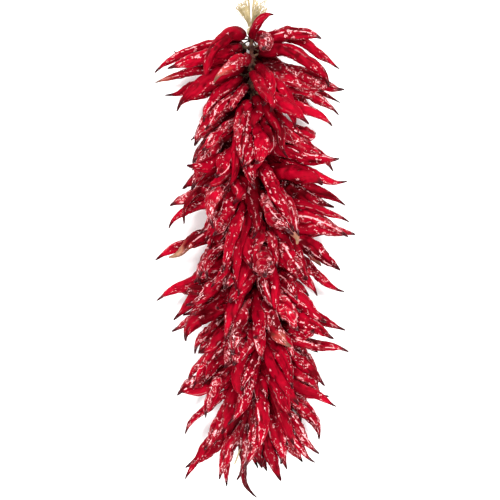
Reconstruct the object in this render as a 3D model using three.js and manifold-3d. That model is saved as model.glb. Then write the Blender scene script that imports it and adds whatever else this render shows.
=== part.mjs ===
// A chilli ristra laid down on a flat surface: dried red chillies tied by their stems, six to a bunch, the
// bunches threaded one below another on a heavy twine. The twine is knotted below the last bunch and above
// the first, where it leaves two frayed ends and a loop to hang it by.
//
// Millimetres. +Y runs up the string towards the hanging loop, +X to the right, +Z up from the surface.
// The origin is at the middle of the underside of the object's box, without the loop.
//
// The pods are placed by a small packing routine. Each one starts on a drooping line from its tie, then
// neighbours push each other apart and the surface pushes up, while every pod keeps its length and its bend.
import * as THREE from "three";
import { mergeVertices } from "three/addons/utils/BufferGeometryUtils.js";
import Module from "manifold-3d";

const wasm = await Module();
wasm.setup();

// ---- Driving dimensions -----------------------------------------------------------------------------

// The string of bunches
const BUNCH_COUNT = 42;
const PODS_PER_BUNCH = 6;
const TIED_LENGTH = 700; // from the first tie to the last, along Y
const STRING_HEIGHT = 84; // of the twine above the surface, at mid length
const STRING_DROOP = 26; // how much lower the twine's two ends lie
const STRING_LEAN = 10; // how far the bottom end stands to +X of the top end
const BUNCH_TWIST = 37; // degrees from one bunch to the next

// The pods
const STEM_LENGTH = 25;
const STEM_RADIUS = 2.1;
const POD_LENGTH = 119; // without its stem
const POD_LENGTH_SPREAD = 0.28; // most of them differ by less than this share
const POD_RADIUS = 11; // at the belly
const POD_RADIUS_SPREAD = 0.22;
const POD_TIP_RADIUS = 1.8;
const POD_GAP = 0.7; // least clearance between any two pods
const POD_SIDES = 5;

// The twine and its ties
const TWINE_RADIUS = 4.2;
const TWINE_SIDES = 6;
const TIE_HEIGHT = 7.5;
const TIE_WALL = 3;
const TIE_CLEARANCE = 0.35; // between a tie and the twine
const KNOT_RADIUS = 9;
const KNOT_LENGTH = 22;
const KNOT_GAP = 0.5; // between a knot and what it meets
const TAIL_RADIUS = 1.5; // of the twine's lower end
const FRAY_ROOT_RADIUS = 2.3; // of a frayed end, at the knot
const FRAY_RADIUS = 5; // of a frayed end, where it is widest
const STRAIGHT_START = 6; // how far a line leaves the knot straight
const LOOP_RADIUS = 2.2; // of the hanging loop's twine
const LOOP_SIDES = 8;
const LOOP_STEPS = 32;

const BED_FLAT = 1.5; // depth of the flat that the surface presses on a pod that bears on it

const SEED = 11;

// The tied length that the places below were chosen at. They follow TIED_LENGTH when it changes.
const CHOSEN_LENGTH = 700;

// Pods that stand out from the rest, each by the bunch that it grows from, the point that it bends towards,
// its tip and its belly's radius. Places are from the middle of the tied length, at the surface.
const LONG_PODS = [
  { bunch: 0, bend: [95, 365, 75], tip: [150, 295, 70], belly: 8.5 },
  { bunch: 1, bend: [60, 370, 95], tip: [120, 345, 115], belly: 11.5 },
  { bunch: 2, bend: [30, 350, 50], tip: [70, 380, 45], belly: 8 },
  { bunch: 1, bend: [0, 375, 120], tip: [30, 390, 118], belly: 7.5 },
  { bunch: 0, bend: [-65, 375, 120], tip: [-90, 270, 145], belly: 12.5 },
  { bunch: 2, bend: [-80, 300, 70], tip: [-145, 320, 60], belly: 9 },
  { bunch: 3, bend: [-90, 300, 50], tip: [-180, 275, 35], belly: 9 },
  { bunch: 4, bend: [-90, 280, 30], tip: [-155, 245, 20], belly: 8.5 },
  { bunch: 6, bend: [-85, 260, 75], tip: [-145, 230, 80], belly: 9 },
  { bunch: 2, bend: [70, 345, 115], tip: [140, 265, 120], belly: 12 },
  { bunch: 5, bend: [75, 265, 60], tip: [155, 220, 50], belly: 10 },
  { bunch: 12, bend: [95, 95, 90], tip: [160, 70, 95], belly: 8.5 },
  { bunch: 14, bend: [100, 75, 60], tip: [165, 45, 50], belly: 9 },
  { bunch: 17, bend: [-90, 45, 80], tip: [-160, 10, 75], belly: 9 },
  { bunch: 26, bend: [-100, -85, 70], tip: [-175, -140, 55], belly: 10 },
  { bunch: 30, bend: [85, -150, 60], tip: [160, -200, 45], belly: 10 },
  { bunch: 37, bend: [-60, -305, 70], tip: [-135, -315, 75], belly: 9.5 },
  { bunch: 36, bend: [95, -305, 80], tip: [145, -340, 75], belly: 8 },
  { bunch: 38, bend: [85, -330, 60], tip: [130, -395, 45], belly: 11 },
  { bunch: 38, bend: [-85, -330, 60], tip: [-130, -385, 65], belly: 7 },
  { bunch: 41, bend: [-30, -420, 75], tip: [-15, -510, 60], belly: 7.5 },
  { bunch: 41, bend: [-45, -405, 95], tip: [-65, -470, 90], belly: 12 },
  { bunch: 40, bend: [-50, -420, 50], tip: [-120, -455, 40], belly: 11 },
  { bunch: 41, bend: [20, -405, 100], tip: [45, -470, 95], belly: 12 },
  { bunch: 40, bend: [40, -395, 50], tip: [60, -460, 40], belly: 8.5 },
  { bunch: 40, bend: [65, -385, 80], tip: [100, -445, 75], belly: 10.5 },
];

// The twine's lower end, which comes out among the last pods and curls up
const TAIL_BEND = [-25, -400, 110];
const TAIL_TIP = [-40, -460, 112];

// The frayed ends, beyond the knot, and the hanging loop, from the knot out and back to it. Where each
// leaves the knot's end is given from its middle: across it and up it.
const FRAYED_ENDS = {
  frayed_end_left: {
    root: [-3.2, 3.4],
    points: [[-12, 390, 58], [-18, 402, 63], [-25, 413, 67], [-31, 422, 68]],
  },
  frayed_end_right: {
    root: [3.2, 3.4],
    points: [[2, 389, 59], [9, 399, 66], [15, 409, 71], [17, 419, 68]],
  },
};
const LOOP_ROOT = [3, -3];
const LOOP_ROUTE = [
  [-8.6, 392, 41.5], [-8.8, 403, 33.5], [-9, 415, 24.5], [-9.8, 427, 16.5], [-11.8, 439, 9.5],
  [-15, 452, 5.8], [-18.8, 466, 4.1], [-22.2, 480, 3.9], [-24, 494, 3.9], [-22, 508, 3.9],
  [-14.5, 518.5, 3.9],
  [-4.5, 522, 3.9], [5.5, 518, 3.9], [12.8, 507, 3.9], [14, 492, 3.9], [11.8, 478, 3.9], [8.2, 464, 4.1],
  [4.2, 450, 6.2], [1, 437, 10.5], [-0.8, 425, 18], [-1.4, 413, 26], [-1.7, 402, 34.2], [-2, 391.5, 41.8],
];

// ---- Helpers ----------------------------------------------------------------------------------------

const radians = THREE.MathUtils.degToRad;
const { lerp, smoothstep, clamp } = THREE.MathUtils;
const vector = (array) => new THREE.Vector3(...array);

/** A repeatable source of random numbers from 0 to 1. */
function seededRandom(seed) {
  let state = seed >>> 0;
  return () => {
    state = (state + 0x6d2b79f5) >>> 0;
    let t = Math.imul(state ^ (state >>> 15), 1 | state);
    t = (t + Math.imul(t ^ (t >>> 7), 61 | t)) ^ t;
    return ((t ^ (t >>> 14)) >>> 0) / 4294967296;
  };
}

const random = seededRandom(SEED);

/** A random number from -size to size, more often near 0. */
const scatter = (size) => (random() + random() - 1) * size;

/** A closed geometry's position and index alone, with its shared vertices merged and no empty triangles. */
function weld(geometry) {
  const plain = new THREE.BufferGeometry();
  plain.setAttribute("position", geometry.attributes.position);
  if (geometry.index) plain.setIndex(geometry.index);
  const merged = mergeVertices(plain, 1e-4);
  const index = merged.index.array;
  const kept = [];
  for (let i = 0; i < index.length; i += 3) {
    const [a, b, c] = [index[i], index[i + 1], index[i + 2]];
    if (a !== b && b !== c && c !== a) kept.push(a, b, c);
  }
  merged.setIndex(kept);
  return merged;
}

/** A closed geometry as a solid that can be joined and cut. */
function toSolid(geometry) {
  const { attributes, index } = weld(geometry);
  const vertProperties = new Float32Array(attributes.position.array);
  const triVerts = new Uint32Array(index.array);
  return new wasm.Manifold(new wasm.Mesh({ numProp: 3, vertProperties, triVerts }));
}

/** A solid back as a geometry. */
function fromSolid(solid) {
  const { vertProperties, triVerts, numProp } = solid.getMesh();
  const geometry = new THREE.BufferGeometry();
  const count = vertProperties.length / numProp;
  const positions = new Float32Array(count * 3);
  for (let i = 0; i < count; i++)
    for (let k = 0; k < 3; k++) positions[3 * i + k] = vertProperties[numProp * i + k];
  geometry.setAttribute("position", new THREE.BufferAttribute(positions, 3));
  geometry.setIndex(new THREE.BufferAttribute(new Uint32Array(triVerts), 1));
  return geometry;
}

// ---- The string's own line --------------------------------------------------------------------------

/** The twine's centre at a share of the tied length: 0 at the first tie, 1 at the last. */
function stringPoint(share) {
  const fromMiddle = 2 * share - 1;
  return new THREE.Vector3(
    STRING_LEAN * (share - 0.5),
    TIED_LENGTH * (0.5 - share),
    STRING_HEIGHT - STRING_DROOP * fromMiddle ** 4,
  );
}

/** The directions at a tie: down the string, and the two across it. */
function stringFrame(share) {
  const step = 0.01;
  const down = stringPoint(share + step).sub(stringPoint(share - step)).normalize();
  const across = new THREE.Vector3(1, 0, 0).addScaledVector(down, -down.x).normalize();
  const up = new THREE.Vector3().crossVectors(down, across).negate();
  return { down, across, up };
}

const bunchShare = (bunch) => bunch / (BUNCH_COUNT - 1);

// ---- Laying the pods out ----------------------------------------------------------------------------

const TIE_FLAT = TWINE_RADIUS + TIE_CLEARANCE; // from the axis to a flat of the tie's hexagonal hole
const TIE_INNER = TIE_FLAT / Math.cos(Math.PI / 6);
const TIE_OUTER = TIE_INNER + TIE_WALL;
const ROOT_RADIUS = TIE_OUTER - TIE_WALL / 2; // where a stem is rooted in its tie
const LINE_SAMPLES = 60;

/**
 * How a pod leaves its tie and how it ends, in degrees from straight down the string. Pods on top and
 * underneath lie flatter than those at the sides.
 */
function podLean(share, azimuth) {
  const top = 1 - smoothstep(share, 0, 0.1);
  const bottom = smoothstep(share, 0.86, 1);
  const pressed = Math.sin(azimuth) ** 2;
  return {
    start: lerp(lerp(72, 82, top), 46, bottom) - 16 * pressed + scatter(24),
    end: lerp(lerp(52, 58, top), 20, bottom) - 22 * pressed + scatter(46),
  };
}

/** A pod from its line, a list of close points: where its sections stand, their radii and its bunch. */
function podOnLine(line, bunch, belly) {
  const along = [0];
  for (let i = 1; i < line.length; i++) along.push(along[i - 1] + line[i].distanceTo(line[i - 1]));
  const length = along.at(-1);
  const body = length - STEM_LENGTH;
  const sections = [
    { at: 0, radius: STEM_RADIUS },
    { at: STEM_LENGTH + 0.05 * body, radius: 0.78 * belly },
    { at: STEM_LENGTH + 0.34 * body, radius: belly },
    { at: STEM_LENGTH + 0.76 * body, radius: 0.66 * belly },
    { at: length, radius: POD_TIP_RADIUS },
  ];
  const points = sections.map(({ at }) => {
    const next = clamp(along.findIndex((s) => s >= at - 1e-9), 1, line.length - 1);
    const part = (at - along[next - 1]) / (along[next] - along[next - 1]);
    return line[next - 1].clone().lerp(line[next], part);
  });
  return { bunch, points, radii: sections.map(({ radius }) => radius), pull: 0.03 };
}

/** One pod of a bunch on a drooping line. */
function layPod(bunch, place) {
  const share = bunchShare(bunch);
  const { down, across, up } = stringFrame(share);
  const rooted = radians((360 / PODS_PER_BUNCH) * place + BUNCH_TWIST * bunch);
  const azimuth = rooted + radians(scatter(38));
  const lean = podLean(share, azimuth);
  const reach = STEM_LENGTH + POD_LENGTH * (1 + scatter(1.6 * POD_LENGTH_SPREAD));
  const belly = POD_RADIUS * (1 + scatter(1.6 * POD_RADIUS_SPREAD));
  const sideways = radians(scatter(64));
  const pen = stringPoint(share)
    .addScaledVector(across, ROOT_RADIUS * Math.cos(rooted))
    .addScaledVector(up, ROOT_RADIUS * Math.sin(rooted));
  const line = [pen.clone()];
  for (let i = 0; i < LINE_SAMPLES; i++) {
    const part = (i + 0.5) / LINE_SAMPLES;
    const angle = radians(lerp(lean.start, lean.end, part));
    const turn = azimuth + sideways * part ** 2;
    const step = reach / LINE_SAMPLES;
    pen.addScaledVector(down, step * Math.cos(angle))
      .addScaledVector(across, step * Math.sin(angle) * Math.cos(turn))
      .addScaledVector(up, step * Math.sin(angle) * Math.sin(turn));
    line.push(pen.clone());
  }
  return podOnLine(line, bunch, belly);
}

/** A long pod in place of the one of its bunch that points most nearly its way. */
function layLongPod(pods, { bunch, bend, tip, belly }) {
  const own = pods.filter((pod) => pod.bunch === bunch && !pod.chosen);
  const centre = stringPoint(bunchShare(bunch));
  const placed = ([x, y, z]) => new THREE.Vector3(x, (y * TIED_LENGTH) / CHOSEN_LENGTH, z);
  const aim = placed(bend).sub(centre).setY(0).normalize();
  const facing = (pod) => pod.points[0].clone().sub(centre).setY(0).normalize().dot(aim);
  const old = own.reduce((best, pod) => (facing(pod) > facing(best) ? pod : best));
  const line = new THREE.QuadraticBezierCurve3(old.points[0], placed(bend), placed(tip));
  const pod = podOnLine(line.getPoints(LINE_SAMPLES), bunch, belly);
  pods[pods.indexOf(old)] = Object.assign(pod, { pull: 0.2, chosen: true });
}

/** Where a knot starts and ends, beyond the first or the last tie, and the way that it points. */
function knotPlace(share) {
  const { down, across } = stringFrame(share);
  const outward = share > 0.5 ? down : down.negate();
  const start = stringPoint(share).addScaledVector(outward, TIE_HEIGHT / 2 + 2 * KNOT_GAP);
  return { start, outward, across, end: start.clone().addScaledVector(outward, KNOT_LENGTH) };
}

/** The room that a knot takes, which the pods keep clear of. */
function knotRoom(share) {
  const { start, end } = knotPlace(share);
  const inset = KNOT_RADIUS / KNOT_LENGTH;
  return {
    points: [start.clone().lerp(end, inset), end.clone().lerp(start, inset)],
    radii: [KNOT_RADIUS, KNOT_RADIUS],
    fixed: true,
  };
}

/** The room that a tie takes, which the pods of the other bunches keep clear of. */
function tieRoom(bunch) {
  const share = bunchShare(bunch);
  const { down } = stringFrame(share);
  const radius = Math.hypot(TIE_OUTER, TIE_HEIGHT / 2);
  return {
    points: [-0.5, 0.5].map((along) => stringPoint(share).addScaledVector(down, along)),
    radii: [radius, radius],
    bunch,
    fixed: true,
  };
}

/** The twine's lower end, laid like a very thin pod. */
function layTail(knot) {
  const { end, outward } = knotPlace(1);
  const start = end.clone().addScaledVector(outward, 2 * KNOT_GAP);
  const straight = start.clone().addScaledVector(outward, 5 * STRAIGHT_START);
  const line = new THREE.CubicBezierCurve3(start, straight, vector(TAIL_BEND), vector(TAIL_TIP));
  const points = line.getSpacedPoints(8);
  return { points, radii: points.map(() => TAIL_RADIUS), pull: 0.4, knot };
}

// ---- Packing ----------------------------------------------------------------------------------------

const PACK_ROUNDS = 260;
const NEIGHBOUR_REFRESH = 8;
const BED_HEIGHT = Math.cos(Math.PI / POD_SIDES); // of a bearing pod's centre, in radii: it lies on a flat

/** Moves a point by parts of a vector. */
function nudge(point, x, y, z) {
  point.x += x;
  point.y += y;
  point.z += z;
}

/** The nearest points of two segments, as shares along each, and the vector between them. */
function nearest([p, q], [r, s], hit) {
  const ux = q.x - p.x, uy = q.y - p.y, uz = q.z - p.z;
  const vx = s.x - r.x, vy = s.y - r.y, vz = s.z - r.z;
  const wx = p.x - r.x, wy = p.y - r.y, wz = p.z - r.z;
  const uu = ux * ux + uy * uy + uz * uz;
  const uv = ux * vx + uy * vy + uz * vz;
  const vv = vx * vx + vy * vy + vz * vz;
  const uw = ux * wx + uy * wy + uz * wz;
  const vw = vx * wx + vy * wy + vz * wz;
  const spread = uu * vv - uv * uv;
  let i = spread > 1e-9 ? clamp((uv * vw - vv * uw) / spread, 0, 1) : 0.5;
  let j = (uv * i + vw) / vv;
  if (j < 0 || j > 1) {
    j = clamp(j, 0, 1);
    i = clamp((uv * j - uw) / uu, 0, 1);
  }
  hit.i = i;
  hit.j = j;
  hit.x = wx + ux * i - vx * j;
  hit.y = wy + uy * i - vy * j;
  hit.z = wz + uz * i - vz * j;
  hit.distance = Math.hypot(hit.x, hit.y, hit.z);
  return hit;
}

const ends = ({ pod, i }) => [pod.points[i], pod.points[i + 1]];
const thickness = ({ pod, i }, share) => lerp(pod.radii[i], pod.radii[i + 1], share);

/** Whether one of two grows out of the other: a pod of its tie, or the tail of its knot. */
function joined(a, b) {
  const ownTie = (a.fixed || b.fixed) && a.bunch !== undefined && a.bunch === b.bunch;
  return ownTie || a.knot === b || b.knot === a || (a.fixed && b.fixed);
}

/** Pairs of stretches of different pods that lie near enough to touch soon. */
function neighbours(pods, margin) {
  const stretches = pods.flatMap((pod) => pod.points.slice(1).map((point, i) => ({
    pod,
    i,
    middle: point.clone().add(pod.points[i]).multiplyScalar(0.5),
    reach: point.distanceTo(pod.points[i]) / 2 + Math.max(pod.radii[i], pod.radii[i + 1]),
  })));
  const pairs = [];
  for (let m = 0; m < stretches.length; m++)
    for (let n = m + 1; n < stretches.length; n++) {
      const [a, b] = [stretches[m], stretches[n]];
      const near = a.reach + b.reach + margin;
      if (a.pod === b.pod || joined(a.pod, b.pod)) continue;
      if (Math.abs(a.middle.y - b.middle.y) > near) continue;
      if (a.middle.distanceToSquared(b.middle) < near * near) pairs.push([a, b]);
    }
  return pairs;
}

/** Moves a stretch's two points so that the point at a share between them moves by a vector. */
function shove({ pod, i }, share, x, y, z) {
  if (pod.fixed) return;
  const first = i === 0 ? 0 : 1 - share;
  const total = first * first + share * share;
  if (total < 1e-6) return;
  const a = first / total;
  const b = share / total;
  nudge(pod.points[i], x * a, y * a, z * a);
  nudge(pod.points[i + 1], x * b, y * b, z * b);
}

/** Brings two points of a pod to their distance. The first stays where it is if it is the root. */
function tether(a, b, length, rooted) {
  const x = b.x - a.x, y = b.y - a.y, z = b.z - a.z;
  const distance = Math.hypot(x, y, z) || 1;
  const f = (distance - length) / distance;
  const first = rooted ? 0 : 0.5 * f;
  nudge(a, x * first, y * first, z * first);
  nudge(b, x * (first - f), y * (first - f), z * (first - f));
}

/** Keeps a point clear of the twine, its ties and the surface. */
function clearOfString(point, radius) {
  const share = 0.5 - point.y / TIED_LENGTH;
  if (share > -0.04 && share < 1.05) {
    const axis = stringPoint(clamp(share, 0, 1));
    const x = point.x - axis.x, z = point.z - axis.z;
    const distance = Math.hypot(x, z) || 1;
    const least = TIE_OUTER + radius + POD_GAP;
    if (distance < least) nudge(point, x * (least / distance - 1), 0, z * (least / distance - 1));
  }
  point.z = Math.max(point.z, radius * BED_HEIGHT);
}

/** Pushes the pods off each other, off the obstacles, off the string and off the surface. */
function pack(pods, obstacles) {
  for (const pod of pods) {
    pod.aim = pod.points.map((point) => point.clone());
    pod.spans = pod.points.slice(1).map((point, i) => point.distanceTo(pod.points[i]));
    pod.bows = pod.points.slice(2).map((point, i) => point.distanceTo(pod.points[i]));
  }
  const hit = {};
  let pairs = [];
  for (let round = 0; round < PACK_ROUNDS; round++) {
    if (round % NEIGHBOUR_REFRESH === 0) pairs = neighbours([...pods, ...obstacles], 16);
    for (const { points, aim, pull } of pods)
      for (let i = 1; i < points.length; i++) points[i].lerp(aim[i], pull * (1 - round / PACK_ROUNDS));
    for (const [a, b] of pairs) {
      nearest(ends(a), ends(b), hit);
      const want = thickness(a, hit.i) + thickness(b, hit.j) + POD_GAP;
      if (hit.distance >= want || hit.distance < 1e-6) continue;
      const f = 0.35 * (want / hit.distance - 1);
      shove(a, hit.i, hit.x * f, hit.y * f, hit.z * f);
      shove(b, hit.j, -hit.x * f, -hit.y * f, -hit.z * f);
    }
    for (const { points, radii, spans, bows } of pods) {
      for (let i = 1; i < points.length; i++) clearOfString(points[i], radii[i]);
      for (let pass = 0; pass < 3; pass++) {
        for (let i = 2; i < points.length; i++) tether(points[i - 2], points[i], bows[i - 2], i === 2);
        for (let i = 1; i < points.length; i++) tether(points[i - 1], points[i], spans[i - 1], i === 1);
      }
      for (let i = 1; i < points.length; i++) clearOfString(points[i], radii[i]);
    }
  }
}

/** Narrows the pods where two still press on each other or on a knot or a tie, so that none overlap. */
function pinch(pods, obstacles) {
  const hit = {};
  for (const [a, b] of neighbours([...pods, ...obstacles], 2)) {
    nearest(ends(a), ends(b), hit);
    const own = (a.pod.fixed ? 0 : thickness(a, hit.i)) + (b.pod.fixed ? 0 : thickness(b, hit.j));
    const room = hit.distance - POD_GAP - (thickness(a, hit.i) + thickness(b, hit.j) - own);
    if (own <= room || own === 0) continue;
    const share = Math.max(room, 0.2) / own;
    for (const [{ pod, i }, at] of [[a, hit.i], [b, hit.j]]) {
      if (pod.fixed) continue;
      if (at < 0.999) pod.radii[i] *= share;
      if (at > 0.001) pod.radii[i + 1] *= share;
    }
  }
}

// ---- Solids -----------------------------------------------------------------------------------------

/**
 * The directions across a line at each of its points: to the side, level wherever the line isn't steep, and
 * the other one.
 */
function crossings(points) {
  const upright = new THREE.Vector3(0, 0, 1);
  const along = points.map((_, i) => {
    const before = points[Math.max(i - 1, 0)];
    const after = points[Math.min(i + 1, points.length - 1)];
    return after.clone().sub(before).normalize();
  });
  const flattest = along.reduce((best, { z }, i) => (Math.abs(z) < Math.abs(along[best].z) ? i : best), 0);
  const sides = [];
  sides[flattest] = new THREE.Vector3().crossVectors(along[flattest], upright).normalize();
  const carry = (i, from) => {
    const steep = Math.abs(along[i].z) > 0.7;
    const side = steep ? sides[from].clone() : new THREE.Vector3().crossVectors(along[i], upright);
    if (side.dot(sides[from]) < 0) side.negate();
    sides[i] = side.addScaledVector(along[i], -side.dot(along[i])).normalize();
  };
  for (let i = flattest + 1; i < points.length; i++) carry(i, i - 1);
  for (let i = flattest - 1; i >= 0; i--) carry(i, i + 1);
  return sides.map((side, i) => ({ side, rise: new THREE.Vector3().crossVectors(side, along[i]) }));
}

/**
 * A round bar of changing radius that follows a line and comes to a point: a turned shape, bent, and pressed
 * flat where it would reach into the bed.
 */
function bentBar(points, radii, sides) {
  const profile = [new THREE.Vector2(0, 0)];
  for (let i = 0; i < points.length - 1; i++) profile.push(new THREE.Vector2(radii[i], i));
  profile.push(new THREE.Vector2(0, points.length - 1));
  const geometry = new THREE.LatheGeometry(profile, sides);
  const frames = crossings(points);
  const { position } = geometry.attributes;
  for (let i = 0; i < position.count; i++) {
    const station = Math.round(position.getY(i));
    const { side, rise } = frames[station];
    const place = points[station].clone()
      .addScaledVector(side, position.getX(i))
      .addScaledVector(rise, position.getZ(i));
    position.setXYZ(i, place.x, place.y, Math.max(place.z, BED_FLAT));
  }
  return geometry;
}

/** Turns a geometry made along +Z to run along a direction, with +X kept as near to a side as it can be. */
function aimAlong(geometry, origin, direction, side) {
  const rise = new THREE.Vector3().crossVectors(direction, side).normalize();
  const basis = new THREE.Matrix4().makeBasis(side, rise, direction).setPosition(origin);
  return geometry.applyMatrix4(basis);
}

/** The tie round a bunch's stems: a short hexagonal collar, open for the twine. */
function tieGeometry(bunch) {
  const corners = (radius) => Array.from({ length: 6 }, (_, i) => {
    const angle = radians(60 * i + BUNCH_TWIST * bunch + 30);
    return new THREE.Vector2(radius * Math.cos(angle), radius * Math.sin(angle));
  });
  const shape = new THREE.Shape(corners(TIE_OUTER));
  shape.holes.push(new THREE.Path(corners(TIE_INNER)));
  const geometry = new THREE.ExtrudeGeometry(shape, { depth: TIE_HEIGHT, bevelEnabled: false });
  const share = bunchShare(bunch);
  const { down, across } = stringFrame(share);
  return aimAlong(geometry.translate(0, 0, -TIE_HEIGHT / 2), stringPoint(share), down.negate(), across);
}

/** A bunch: its tie and its pods with their stems. */
function bunchGeometry(bunch, pods) {
  let solid = toSolid(tieGeometry(bunch));
  for (const { points, radii } of pods.filter((pod) => pod.bunch === bunch))
    solid = solid.add(toSolid(bentBar(points, radii, POD_SIDES)));
  return fromSolid(solid);
}

/** The outline of a round bar with flat sides. */
function barOutline(radius, sides) {
  return new THREE.Shape(Array.from({ length: sides }, (_, i) => {
    const angle = (2 * Math.PI * (i + 0.5)) / sides;
    return new THREE.Vector2(radius * Math.cos(angle), radius * Math.sin(angle));
  }));
}

/** The twine that the bunches are threaded on. */
function coreGeometry() {
  const over = (TIE_HEIGHT / 2 + KNOT_GAP) / TIED_LENGTH;
  const share = (i) => lerp(-over, 1 + over, i / (BUNCH_COUNT - 1));
  const points = Array.from({ length: BUNCH_COUNT }, (_, i) => stringPoint(share(i)));
  return new THREE.ExtrudeGeometry(barOutline(TWINE_RADIUS, TWINE_SIDES), {
    steps: BUNCH_COUNT - 1, bevelEnabled: false, extrudePath: new THREE.CatmullRomCurve3(points),
  });
}

/** A knot beyond one end of the ties: a lump with a waist and a flat end. */
function knotGeometry(share) {
  const shares = [
    [0, 0], [0.45, 0], [0.94, 0.26], [0.9, 0.42], [0.74, 0.54], [0.88, 0.68], [0.84, 1], [0, 1],
  ];
  const profile = shares
    .map(([radius, height]) => new THREE.Vector2(radius * KNOT_RADIUS, height * KNOT_LENGTH));
  const { start, outward, across } = knotPlace(share);
  return aimAlong(new THREE.LatheGeometry(profile, 10).rotateX(Math.PI / 2), start, outward, across);
}

/** The first two points of a line that leaves the top knot's end: across it, and up it. */
function outOfTopKnot([x, rise]) {
  const { end, outward, across } = knotPlace(0);
  const up = new THREE.Vector3().crossVectors(across, outward);
  const start = end.clone().addScaledVector(outward, KNOT_GAP);
  start.addScaledVector(across, x).addScaledVector(up, rise);
  return [start, start.clone().addScaledVector(outward, STRAIGHT_START)];
}

/** One frayed end of the twine, which widens as it comes apart. */
function frayedGeometry({ root, points }) {
  const follow = new THREE.Vector3(0, (TIED_LENGTH - CHOSEN_LENGTH) / 2, 0);
  const route = [...outOfTopKnot(root), ...points.map((point) => vector(point).add(follow))];
  const line = new THREE.CatmullRomCurve3(route).getPoints(6);
  const radii = line.map((_, i) => lerp(FRAY_ROOT_RADIUS, FRAY_RADIUS, Math.sin((i / 6) * Math.PI * 0.7)));
  return bentBar(line, radii, 6);
}

/** The hanging loop: one piece of twine, out and back. */
function loopGeometry() {
  const [x, rise] = LOOP_ROOT;
  const back = outOfTopKnot([x, rise]).reverse();
  const route = [...outOfTopKnot([-x, rise]), ...LOOP_ROUTE.map(vector), ...back];
  return new THREE.ExtrudeGeometry(barOutline(LOOP_RADIUS, LOOP_SIDES), {
    steps: LOOP_STEPS, bevelEnabled: false, extrudePath: new THREE.CatmullRomCurve3(route),
  });
}

// ---- Assembly ---------------------------------------------------------------------------------------

const CHILLI = { color: 0x9d1025, roughness: 0.3, metalness: 0 };
const TWINE = { color: 0xd9c48f, roughness: 0.9, metalness: 0 };

const pods = [];
for (let bunch = 0; bunch < BUNCH_COUNT; bunch++)
  for (let place = 0; place < PODS_PER_BUNCH; place++) pods.push(layPod(bunch, place));
for (const chosen of LONG_PODS) layLongPod(pods, chosen);
const knots = [knotRoom(0), knotRoom(1)];
const tail = layTail(knots[1]);
pods.push(tail);
const obstacles = [...knots, ...Array.from({ length: BUNCH_COUNT }, (_, bunch) => tieRoom(bunch))];
pack(pods, obstacles);
pinch(pods, obstacles);

const group = new THREE.Group();

/** Adds one named piece. */
function addPiece(name, geometry, finish) {
  const mesh = new THREE.Mesh(weld(geometry), new THREE.MeshStandardMaterial(finish));
  mesh.name = name;
  group.add(mesh);
}

for (let bunch = 0; bunch < BUNCH_COUNT; bunch++)
  addPiece(`bunch_${String(bunch + 1).padStart(2, "0")}`, bunchGeometry(bunch, pods), CHILLI);
addPiece("core_twine", coreGeometry(), TWINE);
addPiece("top_knot", knotGeometry(0), TWINE);
addPiece("bottom_knot", knotGeometry(1), TWINE);
addPiece("twine_tail", bentBar(tail.points, tail.radii, 6), TWINE);
for (const [name, end] of Object.entries(FRAYED_ENDS)) addPiece(name, frayedGeometry(end), TWINE);
addPiece("hanging_loop", loopGeometry(), TWINE);

const box = new THREE.Box3();
for (const mesh of group.children) if (mesh.name !== "hanging_loop") box.expandByObject(mesh);
const centre = box.getCenter(new THREE.Vector3());
group.position.set(-centre.x, -centre.y, -box.min.z);

export default group;
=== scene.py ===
"""Looks of a chilli ristra laid down: dried pods tied by their stems, in bunches down a heavy twine.

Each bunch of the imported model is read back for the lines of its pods, and wrinkled pods, stems and
string ties are grown on those lines. The twine, its knots, its frayed ends and its loop are laid as
real strands.
"""

import logging
import math
from collections.abc import Callable, Iterable, Sequence
from dataclasses import dataclass
from enum import Enum

import bmesh
import bpy
import numpy as np
from bpy.types import ID, Material, NodeSocket, NodeTree, Object
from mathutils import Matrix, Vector


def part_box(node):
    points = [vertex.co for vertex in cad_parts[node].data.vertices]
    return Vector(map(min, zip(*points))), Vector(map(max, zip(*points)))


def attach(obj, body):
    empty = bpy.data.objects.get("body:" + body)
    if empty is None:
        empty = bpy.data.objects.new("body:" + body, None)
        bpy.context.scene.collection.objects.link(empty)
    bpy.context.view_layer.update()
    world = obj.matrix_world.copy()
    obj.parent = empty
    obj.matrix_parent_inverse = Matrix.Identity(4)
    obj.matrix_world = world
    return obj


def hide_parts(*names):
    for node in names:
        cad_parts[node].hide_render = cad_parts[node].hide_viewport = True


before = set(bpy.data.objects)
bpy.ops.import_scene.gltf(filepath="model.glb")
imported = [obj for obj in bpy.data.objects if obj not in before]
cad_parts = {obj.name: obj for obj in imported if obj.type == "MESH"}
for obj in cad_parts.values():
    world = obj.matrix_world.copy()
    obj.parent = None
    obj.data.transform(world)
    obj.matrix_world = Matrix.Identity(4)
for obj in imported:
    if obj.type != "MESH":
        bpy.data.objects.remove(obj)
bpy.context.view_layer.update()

log = logging.getLogger("ristra")

BODY = "root"
BUNCH_COUNT = 42
PODS_PER_BUNCH = 6

# Where each random row starts
SKIN_SEED = 5
FIRST_BUNCH_SEED = 1000
LEFT_FRAY_SEED = 3
RIGHT_FRAY_SEED = 8

# The string wound round the stems of a bunch, in metres
TIE_SIZES = {
    "Turns": 7.0,
    "Inner Radius": 0.0058,
    "Outer Radius": 0.0066,
    "Height": 0.0072,
    "String Radius": 0.00075,
}

# The loop's places are given from the middle of the tied length, at the surface. This takes them to
# the part's own frame.
FROM_TIED_MIDDLE = Vector((-0.00401, 0.04382, -0.0015))


class Slot(Enum):
    """The record's material slots."""

    SKIN = "chilli_skin"
    STEM = "stem"
    TWINE = "twine"


class Mark(Enum):
    """Named values that a piece's corners carry for its finish."""

    ALONG = "pod_along"
    FOLD = "pod_fold"
    TONE = "pod_tone"
    FADE = "pod_fade"
    EDGE = "pod_edge"
    DRY = "pod_dryness"
    # Painted shade deep in the bunch, near the string
    INNER_SHADE = "pod_inner"
    PLACE = "skin_place"
    RUN = "strand_run"
    TURN = "strand_turn"


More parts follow.
